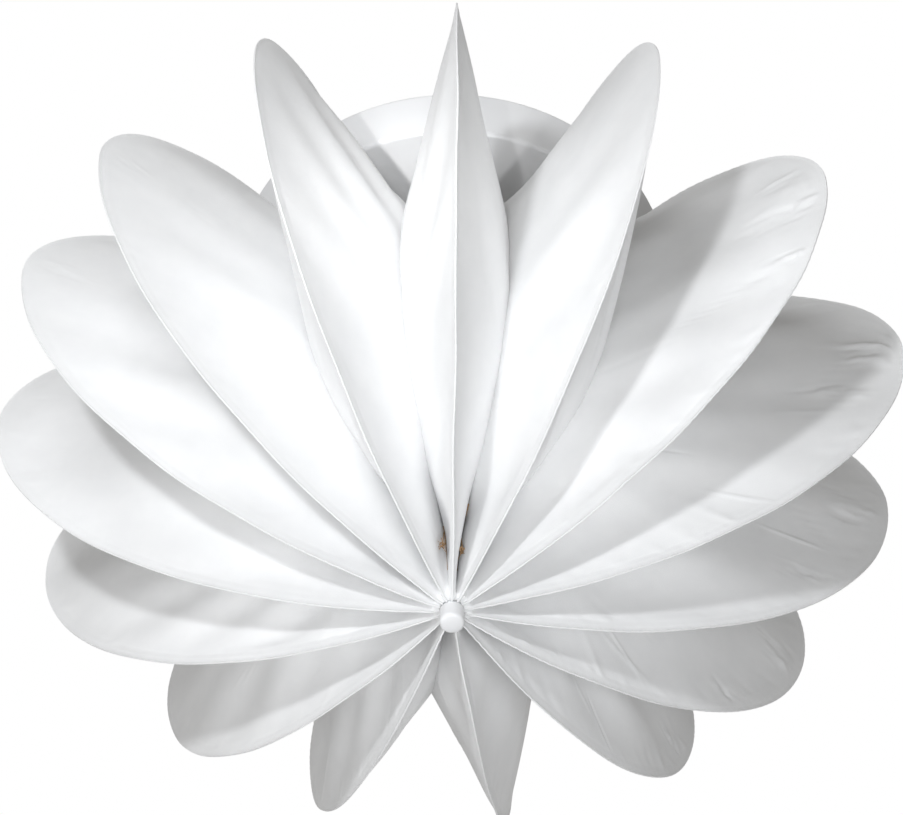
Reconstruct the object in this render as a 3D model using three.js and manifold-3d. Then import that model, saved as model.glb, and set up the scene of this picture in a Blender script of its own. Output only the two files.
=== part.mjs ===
// A flush ceiling lamp with a pleated shade of fifteen fins, each sewn over a bowed wire rib.
// Millimetres, +Z up. The origin is the middle of the mounting bar's top face, on the ceiling,
// and the lamp hangs below it. Angles are degrees round Z, from -Y towards -X.
import * as THREE from 'three';
import { mergeVertices } from 'three/addons/utils/BufferGeometryUtils.js';
import Module from 'manifold-3d';

const GAP = 0.3;                   // left between pieces that touch

// Shade outline: the seams' outer edge
const SHADE_RADIUS = 300;
const SHADE_TOP = -72;
const SHADE_WIDEST = -168;
const SHADE_BOTTOM = -385;
const SHOULDER_RADIUS = 170;       // where the ribs' upper bend turns flat

// Pleats
const FIN_INNER_RADIUS = 8.6;
const FIN_HUB_DEPTH = 4;           // seam to valley at the hub
const PLEAT_DEPTH = 54;            // seam to valley just outside the hub
const PLEAT_START_RADIUS = 15.5;
const PLEAT_FULL_RADIUS = 28;
const VALLEY_RADIUS = 172;
const VALLEY_WIDEST = -215;
const VALLEY_TOP = -80;
const FABRIC = 1;
const SEAM_HALF_WIDTH = 2.8;       // half the pocket that the wire lies in
const SLIT_GAP = 2.4;              // the two unsewn valleys beside the first fin
const SLIT_END_RADIUS = 95;
const STRETCH_STEPS = [1, 4, 8, 7];  // along each stretch of a fin, from the hub to the top ring

// Ribs and the two pieces that they end on
const RIB_WIRE_RADIUS = 1.25;
const RIB_INSET = 7.8;             // seam's edge to the middle of the wire
const TOP_RING_RADIUS = 110;
const TOP_RING_WIRE_RADIUS = 2;
const RIB_STEP = 24;
const RIB_SAMPLES = [1, 2, 9, 8];    // points of the wire's path along each stretch
const RIB_RINGS = 26;
const RIB_SIDES = 5;
// How far each rib has been pushed round from its even place
const RIB_DRIFT = [0.5, 1.5, 1.5, -3, -4, -5, -3.5, -6, -3, -1, -5.5, -6.5, -6.5, -3.5, -0.5];

// Twine knots in the two open valleys
const TIE_RADIUS = 3.2;
const TIE_THICKNESS = 1.6;
const TIE_PLACE_RADIUS = 28;
const TIE_DROP = 21;               // below the valley's floor

// Hub, washer and finial on the rod
const ROD_RADIUS = 4;
const ROD_BORE_RADIUS = ROD_RADIUS + GAP;
const HUB_FLANGE_RADIUS = 11.5;
const HUB_FLANGE_THICKNESS = 5;
const HUB_BOSS_RADIUS = 7.4;
const WASHER_RADIUS = 7.5;
const WASHER_THICKNESS = 1.5;
const WASHER_RAISE = 1;            // washer's underside above the seams' lowest edge
const FINIAL_RADIUS = 7.8;
const FINIAL_HEIGHT = 14;
const FINIAL_DOME = 6.5;           // height of its rounded end
const FINIAL_THREAD = 7;           // depth of its blind thread

// Ceiling pan
const PAN_RADIUS = 150;
const PAN_FACE_RADIUS = 135;
const PAN_DEPTH = 29;
const PAN_RIM = 3;
const PAN_EDGE_RADIUS = 4;
const PAN_SHEET = 1.2;

// Mounting bar and its fixings
const BAR_WIDTH = 24;
const BAR_SHEET = 2.5;
const BAR_ANGLE = 46;
const TAB_DEPTH = 23;
const TAB_CLEARANCE = 4;           // tab's outer face to the pan's wall
const SLOT_OFFSET = 44;
const SLOT_LENGTH = 18;
const SLOT_RADIUS = 2.6;
const CABLE_HOLE_RADIUS = 7;
const CABLE_HOLE_OFFSET = 20;
const PAN_SCREW_DROP = 18;
const PAN_SCREW_RADIUS = 1.8;
const PAN_SCREW_HEAD_RADIUS = 3.6;
const PAN_SCREW_HEAD = 2.6;
const NUT_ACROSS_FLATS = 13;
const PAN_SCREW_CROWN_RADIUS = 2.2;
const PAN_SCREW_REACH = 4;         // past the tab's inner face
const PAN_SCREW_DRILL = 16;        // length of the tool that drills for it
const NUT_HEIGHT = 6.5;

// Lampholders and bulbs
const LAMP_COUNT = 3;
const LAMP_RADIUS = 58;
const HOLDER_RADIUS = 19;
const HOLDER_HEIGHT = 42;
const HOLDER_FLOOR = 9;
const HOLDER_CHAMFER = 3;
const CAP_RADIUS = 13;
const CAP_CLEARANCE = 0.6;
const CAP_HEIGHT = 25;
const CAP_SHOULDER = 4;
const CAP_SHOULDER_RADIUS = 6.5;
const CAP_CONTACT = 1;
const CAP_CONTACT_RADIUS = 4.5;
const BULB_RADIUS = 30;
const BULB_LENGTH = 82;            // glass only
const BULB_NECK_RADIUS = 12;
const BULB_NECK = 8;               // down from the cap before the glass widens
const BULB_NECK_FLARE = 1.5;
const BULB_SHOULDER_ANGLE = 38;    // where the neck meets the ball
const BULB_WALL = 1;
const LEAD_RADIUS = 1.5;
const LEAD_HOLE_RADIUS = 5;
const LEAD_PASS_RADIUS = 26;
const LEAD_PASS_Z = -17;
const LEAD_STRAIGHT = 7;
const LEAD_TURN = 4;               // drop in which a lead turns down into its hole
const LEAD_SWING = 145;            // how far round from the bar the two long leads pass
const BLOCK_SIZE = [34, 15, 12];
const BLOCK_OFFSET = 62;
const WAY_RADIUS = 2;
const WAY_PITCH = 10.6;

// Facets of the round pieces
const SIDES = {
  pan: 56, ring: 48, hub: 30, finial: 28, washer: 24, holder: 20, rod: 20, drill: 20,
  bulb: 16, screw: 16, ringWire: 6, lead: 8, way: 12,
};
const DOME_STEPS = 6;
const EDGE_STEPS = 3;
const LEAD_RINGS = 16;

const wasm = await Module();
wasm.setup();

const lamp = new THREE.Group();

const FINISHES = {
  fabric: { color: 0xeef0f2, roughness: 0.75, metalness: 0 },
  steel: { color: 0xb9bcc0, roughness: 0.35, metalness: 1 },
  whitePaint: { color: 0xf2f2f1, roughness: 0.4, metalness: 0 },
  porcelain: { color: 0xf6f4ee, roughness: 0.3, metalness: 0 },
  brass: { color: 0xc9a860, roughness: 0.3, metalness: 1 },
  opal: { color: 0xfff6e6, roughness: 0.25, metalness: 0 },
  twine: { color: 0xa9814f, roughness: 0.9, metalness: 0 },
  insulation: { color: 0xe6ddc8, roughness: 0.6, metalness: 0 },
};

function radians(degrees) {
  return THREE.MathUtils.degToRad(degrees);
}

// A point at an angle round the lamp, moved sideways along the tangent.
function place(angle, radius, z, sideways = 0) {
  const a = radians(angle);
  const x = -radius * Math.sin(a) - sideways * Math.cos(a);
  const y = -radius * Math.cos(a) + sideways * Math.sin(a);
  return new THREE.Vector3(x, y, z);
}

function positionsOnly(geometry) {
  const bare = geometry.clone();
  bare.deleteAttribute('normal');
  bare.deleteAttribute('uv');
  return mergeVertices(bare, 1e-4);
}

function volumeOf(geometry) {
  const { array } = geometry.getAttribute('position');
  const index = geometry.getIndex().array;
  const corner = [new THREE.Vector3(), new THREE.Vector3(), new THREE.Vector3()];
  let six = 0;
  for (let i = 0; i < index.length; i += 3) {
    corner.forEach((point, k) => point.fromArray(array, 3 * index[i + k]));
    six += corner[0].dot(corner[1].clone().cross(corner[2]));
  }
  return six / 6;
}

// The same surface with its faces pointing out.
function outward(geometry) {
  const closed = positionsOnly(geometry);
  if (volumeOf(closed) < 0) {
    const index = closed.getIndex();
    for (let i = 0; i < index.count; i += 3) {
      const swap = index.getX(i);
      index.setX(i, index.getX(i + 1));
      index.setX(i + 1, swap);
    }
  }
  return closed;
}

function toSolid(geometry) {
  const closed = outward(geometry);
  return new wasm.Manifold(new wasm.Mesh({
    numProp: 3,
    vertProperties: new Float32Array(closed.getAttribute('position').array),
    triVerts: new Uint32Array(closed.getIndex().array),
  }));
}

function toGeometry(solid) {
  const { vertProperties, triVerts } = solid.getMesh();
  const geometry = new THREE.BufferGeometry();
  geometry.setAttribute('position', new THREE.BufferAttribute(vertProperties, 3));
  geometry.setIndex(new THREE.BufferAttribute(triVerts, 1));
  return geometry;
}

function cut(geometry, tools) {
  const rest = tools.reduce((solid, tool) => solid.subtract(toSolid(tool)), toSolid(geometry));
  return toGeometry(rest);
}

function add(name, finish, geometry, parent = lamp) {
  const shape = outward(geometry);
  shape.computeVertexNormals();
  const mesh = new THREE.Mesh(shape, new THREE.MeshStandardMaterial(FINISHES[finish]));
  mesh.name = name;
  parent.add(mesh);
  return mesh;
}

// A body of revolution round Z from [radius, z] pairs.
function turned(profile, segments) {
  const points = profile.map(([r, z]) => new THREE.Vector2(r, z));
  return new THREE.LatheGeometry(points, segments).rotateX(Math.PI / 2);
}

function ringProfile(inner, outer, low, high) {
  return [[inner, low], [outer, low], [outer, high], [inner, high], [inner, low]];
}

function drill(radius, length, x, y, z) {
  const tool = new THREE.CylinderGeometry(radius, radius, length, SIDES.drill);
  return tool.rotateX(Math.PI / 2).translate(x, y, z);
}

// A round bar along a path, with flat ends.
function wire(path, radius, steps, sides) {
  const section = new THREE.Shape();
  for (let i = 0; i < sides; i += 1) {
    const a = (2 * Math.PI * i) / sides;
    const corner = [radius * Math.cos(a), radius * Math.sin(a)];
    if (i === 0) section.moveTo(...corner);
    else section.lineTo(...corner);
  }
  section.closePath();
  return new THREE.ExtrudeGeometry(section, { steps, extrudePath: path, bevelEnabled: false });
}

// Outlines in the plane of a fin, x outwards and y up, from the hub round to the top ring.
// Each of the four stretches has as many steps for the seam as for the valley.
const ringEdge = TOP_RING_RADIUS + TOP_RING_WIRE_RADIUS + GAP;
const finTopRadius = ringEdge + 2 * GAP;
const foldFloor = SHADE_BOTTOM + PLEAT_DEPTH;
const foldHub = SHADE_BOTTOM + FIN_HUB_DEPTH;
const seamSplitRadius = PLEAT_FULL_RADIUS + 6;
function ellipse(x, y, width, height, from, to) {
  return new THREE.EllipseCurve(x, y, width, height, radians(from), radians(to), false, 0);
}

function line(...corners) {
  const [from, to] = corners.map(([x, y]) => new THREE.Vector2(x, y));
  return new THREE.LineCurve(from, to);
}

// The seam's lower bend between two radii.
function lowerSeam(from, to) {
  const angleAt = (radius) => -THREE.MathUtils.radToDeg(Math.acos(radius / SHADE_RADIUS));
  return ellipse(0, SHADE_WIDEST, SHADE_RADIUS, SHADE_WIDEST - SHADE_BOTTOM, angleAt(from), angleAt(to));
}

const seamTop = new THREE.CurvePath();
const shoulderWidth = SHADE_RADIUS - SHOULDER_RADIUS;
seamTop.add(ellipse(SHOULDER_RADIUS, SHADE_WIDEST, shoulderWidth, SHADE_TOP - SHADE_WIDEST, 0, 90));
seamTop.add(line([SHOULDER_RADIUS, SHADE_TOP], [finTopRadius, SHADE_TOP]));

const seam = [
  lowerSeam(FIN_INNER_RADIUS, PLEAT_START_RADIUS),
  lowerSeam(PLEAT_START_RADIUS, seamSplitRadius),
  lowerSeam(seamSplitRadius, SHADE_RADIUS),
  seamTop,
];

const valley = [
  line([FIN_INNER_RADIUS, foldHub], [PLEAT_START_RADIUS, foldHub]),
  new THREE.QuadraticBezierCurve(
    new THREE.Vector2(PLEAT_START_RADIUS, foldHub),
    new THREE.Vector2(PLEAT_START_RADIUS, foldFloor),
    new THREE.Vector2(PLEAT_FULL_RADIUS, foldFloor),
  ),
  new THREE.CubicBezierCurve(
    new THREE.Vector2(PLEAT_FULL_RADIUS, foldFloor),
    new THREE.Vector2((PLEAT_FULL_RADIUS + VALLEY_RADIUS) / 2, foldFloor),
    new THREE.Vector2(VALLEY_RADIUS, (foldFloor * 3 + VALLEY_WIDEST) / 4),
    new THREE.Vector2(VALLEY_RADIUS, VALLEY_WIDEST),
  ),
  ellipse(finTopRadius, VALLEY_WIDEST, VALLEY_RADIUS - finTopRadius, VALLEY_TOP - VALLEY_WIDEST, 0, 90),
];

// [seam point, valley point] pairs along a fin.
function stations() {
  const pairs = [];
  STRETCH_STEPS.forEach((steps, stretch) => {
    for (let i = stretch === 0 ? 0 : 1; i <= steps; i += 1) {
      pairs.push([seam[stretch].getPointAt(i / steps), valley[stretch].getPointAt(i / steps)]);
    }
  });
  return pairs;
}

const ribAngles = RIB_DRIFT.map((drift, i) => RIB_STEP * i + drift);
const ribCount = ribAngles.length;

function middleAngle(i, step) {
  const next = (i + step + ribCount) % ribCount;
  const turn = Math.round((ribAngles[i] + RIB_STEP * step - ribAngles[next]) / 360) * 360;
  return (ribAngles[i] + ribAngles[next] + turn) / 2;
}

// The first fin's two valleys stay open from the hub to the slit's end.
function valleyGap(i, step, radius, z) {
  const beside = (i === 0) || (i === 1 && step < 0) || (i === ribCount - 1 && step > 0);
  if (!beside || z > VALLEY_WIDEST || radius > SLIT_END_RADIUS) return GAP;
  const edge = Math.min(radius - FIN_INNER_RADIUS, SLIT_END_RADIUS - radius);
  return GAP + (SLIT_GAP - GAP) * THREE.MathUtils.smoothstep(edge, 0, PLEAT_START_RADIUS);
}

// A cloth channel: two panels that meet in the wire's pocket along the seam.
function finGeometry(i) {
  const angle = ribAngles[i];
  const sides = [-1, 1];
  const folds = sides.map((side) => middleAngle(i, side));
  const rings = stations().map(([edge, fold]) => {
    const outer = sides.map((side, k) => {
      const gap = valleyGap(i, side, fold.x, fold.y);
      return place(folds[k], fold.x, fold.y, (-side * gap) / 2);
    });
    const spread = edge.x * Math.sin(radians(Math.min(angle - folds[0], folds[1] - angle)));
    const half = Math.min(SEAM_HALF_WIDTH, spread - GAP);
    const across = outer[1].clone().sub(outer[0]).normalize();
    const middle = outer[0].clone().add(outer[1]).multiplyScalar(0.5);
    const top = place(angle, edge.x, edge.y);
    const down = middle.clone().sub(top).normalize().multiplyScalar(FABRIC);
    const pocket = sides.map((side) => place(angle, edge.x, edge.y, side * half));
    const innerPocket = sides.map((side) => (
      place(angle, edge.x, edge.y, side * (half - FABRIC)).add(down)
    ));
    const innerFold = outer.map((point, k) => (
      point.clone().addScaledVector(across, -sides[k] * FABRIC)
    ));
    return [
      outer[0], pocket[0], pocket[1], outer[1],
      innerFold[1], innerPocket[1], innerPocket[0], innerFold[0],
    ];
  });
  return channel(rings);
}

// Joins rings of eight corners, four outside and four inside, into one closed body.
function channel(rings) {
  const size = 8;
  const positions = rings.flat().flatMap((point) => point.toArray());
  const index = [];
  for (let k = 0; k + 1 < rings.length; k += 1) {
    for (let j = 0; j < size; j += 1) {
      const a = k * size + j;
      const b = k * size + ((j + 1) % size);
      // Both skins of a twisted panel are split along the same diagonal, so the wall stays even.
      const inside = j >= size / 2;
      if (inside) index.push(a, b, a + size, b, b + size, a + size);
      else index.push(a, b, b + size, a, b + size, a + size);
    }
  }
  const last = (rings.length - 1) * size;
  for (let j = 0; j < 3; j += 1) {
    const quad = [j, j + 1, size - 2 - j, size - 1 - j];
    index.push(quad[0], quad[2], quad[1], quad[0], quad[3], quad[2]);
    const end = quad.map((corner) => corner + last);
    index.push(end[0], end[1], end[2], end[0], end[2], end[3]);
  }
  const geometry = new THREE.BufferGeometry();
  geometry.setAttribute('position', new THREE.Float32BufferAttribute(positions, 3));
  geometry.setIndex(index);
  return geometry;
}

// The wire's middle line, a set distance inside the seam.
function ribPath(angle) {
  const points = [];
  seam.forEach((curve, stretch) => {
    const count = RIB_SAMPLES[stretch];
    const limit = curve === seamTop ? ringEdge : HUB_FLANGE_RADIUS + GAP;
    for (let i = stretch === 0 ? 0 : 1; i <= count; i += 1) {
      const edge = curve.getPointAt(i / count);
      const along = curve.getTangentAt(i / count);
      const radius = edge.x - along.y * RIB_INSET;
      const z = edge.y + along.x * RIB_INSET;
      points.push(place(angle, Math.max(radius, limit), z));
    }
  });
  return new THREE.CatmullRomCurve3(points, false, 'centripetal');
}

function addShade() {
  for (let i = 0; i < ribCount; i += 1) {
    const number = String(i + 1).padStart(2, '0');
    add(`rib_${number}`, 'steel', wire(ribPath(ribAngles[i]), RIB_WIRE_RADIUS, RIB_RINGS, RIB_SIDES));
    add(`fin_${number}`, 'fabric', finGeometry(i));
  }
  const ring = [];
  for (let i = 0; i <= SIDES.ringWire; i += 1) {
    const a = (2 * Math.PI * i) / SIDES.ringWire;
    ring.push([
      TOP_RING_RADIUS + TOP_RING_WIRE_RADIUS * Math.cos(a),
      SHADE_TOP - RIB_INSET + TOP_RING_WIRE_RADIUS * Math.sin(a),
    ]);
  }
  add('top_ring', 'steel', turned(ring, SIDES.ring));
}

const washerLow = SHADE_BOTTOM + WASHER_RAISE;
const hubLow = washerLow + WASHER_THICKNESS + GAP;
const flangeMiddle = SHADE_BOTTOM + RIB_INSET;

function addHub() {
  const flangeLow = flangeMiddle - HUB_FLANGE_THICKNESS / 2;
  const flangeHigh = flangeMiddle + HUB_FLANGE_THICKNESS / 2;
  const profile = [
    [ROD_BORE_RADIUS, hubLow], [HUB_BOSS_RADIUS, hubLow], [HUB_BOSS_RADIUS, flangeLow],
    [HUB_FLANGE_RADIUS, flangeLow], [HUB_FLANGE_RADIUS, flangeHigh],
    [ROD_BORE_RADIUS, flangeHigh], [ROD_BORE_RADIUS, hubLow],
  ];
  add('lower_hub', 'steel', turned(profile, SIDES.hub));
  const washerHigh = washerLow + WASHER_THICKNESS;
  const washer = ringProfile(ROD_BORE_RADIUS, WASHER_RADIUS, washerLow, washerHigh);
  add('shade_washer', 'steel', turned(washer, SIDES.washer));
}

function addFinial() {
  const high = washerLow - GAP;
  const low = high - FINIAL_HEIGHT;
  const profile = [
    [0, high - FINIAL_THREAD], [ROD_BORE_RADIUS, high - FINIAL_THREAD],
    [ROD_BORE_RADIUS, high], [FINIAL_RADIUS, high],
  ];
  for (let i = 0; i < DOME_STEPS; i += 1) {
    const a = (Math.PI / 2) * (i / DOME_STEPS);
    profile.push([FINIAL_RADIUS * Math.cos(a), low + FINIAL_DOME * (1 - Math.sin(a))]);
  }
  profile.push([0, low]);
  add('finial', 'whitePaint', turned(profile, SIDES.finial));
}

// The twine knots that draw the first fin to its neighbours, flat in the open valleys.
function addTies() {
  [['twine_tie_left', 1], ['twine_tie_right', -1]].forEach(([name, step]) => {
    const angle = middleAngle(0, step);
    const knot = new THREE.SphereGeometry(TIE_RADIUS, 12, 8);
    knot.scale(TIE_THICKNESS / (2 * TIE_RADIUS), 1, 1);
    const mesh = add(name, 'twine', knot);
    mesh.rotation.z = -radians(angle);
    mesh.position.copy(place(angle, TIE_PLACE_RADIUS, foldFloor - TIE_DROP));
  });
}

const rodTop = -BAR_SHEET - GAP;
const panWall = (depth) => {
  const share = (depth - PAN_RIM) / (PAN_DEPTH - PAN_EDGE_RADIUS - PAN_RIM);
  return PAN_RADIUS + (PAN_FACE_RADIUS + PAN_EDGE_RADIUS - PAN_RADIUS) * share;
};
const tabRadius = panWall(PAN_SCREW_DROP) - PAN_SHEET - TAB_CLEARANCE;
const lampAngles = Array.from({ length: LAMP_COUNT }, (_, i) => BAR_ANGLE + (360 * i) / LAMP_COUNT);

function screwDrill(radius, length, distance) {
  const tool = new THREE.CylinderGeometry(radius, radius, length, SIDES.screw);
  return tool.rotateZ(Math.PI / 2).translate(distance, 0, -PAN_SCREW_DROP);
}

function addPan() {
  const wallLow = -PAN_DEPTH + PAN_EDGE_RADIUS;
  const centre = PAN_FACE_RADIUS;
  const edge = [];
  const inside = [];
  for (let i = 0; i <= EDGE_STEPS; i += 1) {
    const a = (Math.PI / 2) * (i / EDGE_STEPS);
    edge.push([centre + PAN_EDGE_RADIUS * Math.cos(a), wallLow - PAN_EDGE_RADIUS * Math.sin(a)]);
    const inner = PAN_EDGE_RADIUS - PAN_SHEET;
    inside.unshift([centre + inner * Math.cos(a), wallLow - inner * Math.sin(a)]);
  }
  const profile = [
    [PAN_RADIUS - PAN_SHEET, 0], [PAN_RADIUS, 0], [PAN_RADIUS, -PAN_RIM],
    ...edge,
    [ROD_BORE_RADIUS, -PAN_DEPTH], [ROD_BORE_RADIUS, -PAN_DEPTH + PAN_SHEET],
    ...inside,
    [PAN_RADIUS - PAN_SHEET, -PAN_RIM], [PAN_RADIUS - PAN_SHEET, 0],
  ];
  const leadHoles = lampAngles.map((angle) => {
    const { x, y } = place(angle, LAMP_RADIUS, 0);
    return drill(LEAD_HOLE_RADIUS, 6 * PAN_SHEET, x, y, -PAN_DEPTH + PAN_SHEET / 2);
  });
  const turn = Math.PI / 2 - radians(BAR_ANGLE);
  const screwHoles = [1, -1].map((side) => {
    const tool = screwDrill(PAN_SCREW_RADIUS + GAP, PAN_SCREW_DRILL, side * panWall(PAN_SCREW_DROP));
    return tool.rotateZ(turn);
  });
  add('ceiling_pan', 'whitePaint', cut(turned(profile, SIDES.pan), [...leadHoles, ...screwHoles]));
}

function addMountingBar() {
  const half = tabRadius;
  const outline = new THREE.Shape();
  outline.moveTo(-half, 0);
  outline.lineTo(half, 0);
  outline.lineTo(half, -TAB_DEPTH);
  outline.lineTo(half - BAR_SHEET, -TAB_DEPTH);
  outline.lineTo(half - BAR_SHEET, -BAR_SHEET);
  outline.lineTo(-half + BAR_SHEET, -BAR_SHEET);
  outline.lineTo(-half + BAR_SHEET, -TAB_DEPTH);
  outline.lineTo(-half, -TAB_DEPTH);
  outline.closePath();
  const bar = new THREE.ExtrudeGeometry(outline, { depth: BAR_WIDTH, bevelEnabled: false });
  bar.translate(0, 0, -BAR_WIDTH / 2).rotateX(Math.PI / 2);
  const slots = [1, -1].map((side) => {
    const reach = SLOT_LENGTH / 2 - SLOT_RADIUS;
    const slot = new THREE.Shape();
    slot.absarc(reach, 0, SLOT_RADIUS, -Math.PI / 2, Math.PI / 2);
    slot.absarc(-reach, 0, SLOT_RADIUS, Math.PI / 2, (3 * Math.PI) / 2);
    const tool = new THREE.ExtrudeGeometry(slot, { depth: 4 * BAR_SHEET, bevelEnabled: false });
    return tool.translate(side * SLOT_OFFSET, 0, -3 * BAR_SHEET);
  });
  const cableHole = drill(CABLE_HOLE_RADIUS, 4 * BAR_SHEET, -CABLE_HOLE_OFFSET, 0, -BAR_SHEET / 2);
  const screwHoles = [1, -1].map((side) => (
    screwDrill(PAN_SCREW_RADIUS + GAP, PAN_SCREW_DRILL, side * half)
  ));
  const mesh = add('mounting_bar', 'steel', cut(bar, [...slots, cableHole, ...screwHoles]));
  mesh.rotation.z = Math.PI / 2 - radians(BAR_ANGLE);
}

function addPanScrews() {
  const head = panWall(PAN_SCREW_DROP - PAN_SCREW_HEAD_RADIUS) + GAP;
  const tip = tabRadius - BAR_SHEET - PAN_SCREW_REACH;
  const profile = [
    [0, tip], [PAN_SCREW_RADIUS, tip], [PAN_SCREW_RADIUS, head], [PAN_SCREW_HEAD_RADIUS, head],
    [PAN_SCREW_HEAD_RADIUS, head + PAN_SCREW_HEAD / 2], [PAN_SCREW_CROWN_RADIUS, head + PAN_SCREW_HEAD],
    [0, head + PAN_SCREW_HEAD],
  ];
  [1, 2].forEach((number) => {
    const holder = new THREE.Group();
    holder.rotation.z = Math.PI / 2 - radians(BAR_ANGLE) + (number === 1 ? Math.PI : 0);
    const mesh = add(`pan_screw_${number}`, 'whitePaint', turned(profile, SIDES.screw), holder);
    mesh.rotation.y = Math.PI / 2;
    mesh.position.z = -PAN_SCREW_DROP;
    lamp.add(holder);
  });
}

function nutGeometry() {
  const hexagon = new THREE.Shape();
  const corner = NUT_ACROSS_FLATS / Math.sqrt(3);
  for (let i = 0; i < 6; i += 1) {
    const a = (Math.PI / 3) * i;
    if (i === 0) hexagon.moveTo(corner, 0);
    else hexagon.lineTo(corner * Math.cos(a), corner * Math.sin(a));
  }
  hexagon.closePath();
  const bore = new THREE.Path();
  bore.absarc(0, 0, ROD_BORE_RADIUS, 0, 2 * Math.PI);
  hexagon.holes.push(bore);
  return new THREE.ExtrudeGeometry(hexagon, { depth: NUT_HEIGHT, bevelEnabled: false });
}

function addRod() {
  const low = washerLow - GAP - FINIAL_THREAD + 2 * GAP;
  const profile = [[0, low], [ROD_RADIUS, low], [ROD_RADIUS, rodTop], [0, rodTop]];
  add('threaded_rod', 'steel', turned(profile, SIDES.rod));
  add('weld_nut', 'steel', nutGeometry().translate(0, 0, rodTop - NUT_HEIGHT));
  add('pan_nut', 'steel', nutGeometry().translate(0, 0, -PAN_DEPTH - GAP - NUT_HEIGHT));
}

const holderHigh = -PAN_DEPTH - GAP;
const holderCeiling = holderHigh - HOLDER_FLOOR;
const capHigh = holderCeiling - GAP;
const capLow = capHigh - CAP_HEIGHT;
const glassHigh = capLow - GAP;

function holderProfile() {
  const bore = CAP_RADIUS + CAP_CLEARANCE;
  const low = holderHigh - HOLDER_HEIGHT;
  const shoulder = HOLDER_RADIUS - HOLDER_CHAMFER;
  return [
    [0, holderCeiling], [bore, holderCeiling], [bore, low], [HOLDER_RADIUS, low],
    [HOLDER_RADIUS, holderCeiling], [shoulder, holderHigh], [0, holderHigh],
  ];
}

// Pear outline of the glass, offset inwards by a distance.
function pear(inset) {
  const centre = glassHigh - BULB_LENGTH + BULB_RADIUS;
  const radius = BULB_RADIUS - inset;
  const neck = BULB_NECK_RADIUS - inset;
  const from = radians(BULB_SHOULDER_ANGLE);
  const start = [radius * Math.cos(from), centre + radius * Math.sin(from)];
  const points = [
    [neck, glassHigh],
    [neck + BULB_NECK_FLARE, glassHigh - BULB_NECK],
    [(neck + start[0]) / 2, (glassHigh - BULB_NECK + start[1]) / 2],
  ];
  for (let i = 0; i < DOME_STEPS; i += 1) {
    const a = from - (from + Math.PI / 2) * (i / DOME_STEPS);
    points.push([radius * Math.cos(a), centre + radius * Math.sin(a)]);
  }
  points.push([0, centre - radius]);
  return points;
}

function addLamps() {
  const capProfile = [
    [0, capLow], [CAP_RADIUS, capLow], [CAP_RADIUS, capHigh - CAP_SHOULDER],
    [CAP_SHOULDER_RADIUS, capHigh - CAP_CONTACT], [CAP_CONTACT_RADIUS, capHigh], [0, capHigh],
  ];
  const glass = [...pear(0), ...pear(BULB_WALL).reverse(), pear(0)[0]];
  lampAngles.forEach((angle, i) => {
    const spot = new THREE.Group();
    spot.position.copy(place(angle, LAMP_RADIUS, 0));
    add(`lampholder_${i + 1}`, 'porcelain', turned(holderProfile(), SIDES.holder), spot);
    add(`bulb_cap_${i + 1}`, 'brass', turned(capProfile, SIDES.bulb), spot);
    add(`bulb_glass_${i + 1}`, 'opal', turned(glass, SIDES.bulb), spot);
    lamp.add(spot);
  });
}

// The terminal block hangs under the bar, and a lead runs from it to each lampholder.
const blockHigh = -BAR_SHEET - GAP;

function addWiring() {
  const [length, width, height] = BLOCK_SIZE;
  const body = new THREE.BoxGeometry(length, width, height);
  const ways = [-1, 0, 1].map((way) => {
    const tool = new THREE.CylinderGeometry(WAY_RADIUS, WAY_RADIUS, width * 2, SIDES.way);
    return tool.translate(way * WAY_PITCH, 0, 0);
  });
  const block = add('terminal_block', 'porcelain', cut(body, ways));
  const turn = 90 - BAR_ANGLE;
  block.rotation.z = radians(turn);
  block.position.set(
    BLOCK_OFFSET * Math.cos(radians(turn)),
    BLOCK_OFFSET * Math.sin(radians(turn)),
    blockHigh - height / 2,
  );
  block.updateMatrixWorld();
  // Way of the block, side that it leaves from, and a point that it is dressed through
  const routes = [
    [-1, 1, place(BAR_ANGLE + 90, LEAD_PASS_RADIUS, LEAD_PASS_Z)],
    [1, 1, place(BAR_ANGLE + LEAD_SWING, LAMP_RADIUS, LEAD_PASS_Z)],
    [0, -1, place(BAR_ANGLE - LEAD_SWING, LAMP_RADIUS, LEAD_PASS_Z)],
  ];
  routes.forEach(([way, side, pass], i) => {
    const exit = (reach) => new THREE.Vector3(way * WAY_PITCH, side * (width / 2 + reach), 0);
    const hole = place(lampAngles[i], LAMP_RADIUS, 0);
    const points = [
      block.localToWorld(exit(GAP)),
      block.localToWorld(exit(LEAD_STRAIGHT)),
      pass,
      new THREE.Vector3(hole.x, hole.y, LEAD_PASS_Z - LEAD_TURN),
      new THREE.Vector3(hole.x, hole.y, holderHigh + GAP),
    ];
    const path = new THREE.CatmullRomCurve3(points);
    add(`lamp_lead_${i + 1}`, 'insulation', wire(path, LEAD_RADIUS, LEAD_RINGS, SIDES.lead));
  });
}

addPan();
addMountingBar();
addPanScrews();
addRod();
addLamps();
addWiring();
addHub();
addFinial();
addShade();
addTies();

export default lamp;
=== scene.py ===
import math

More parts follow.
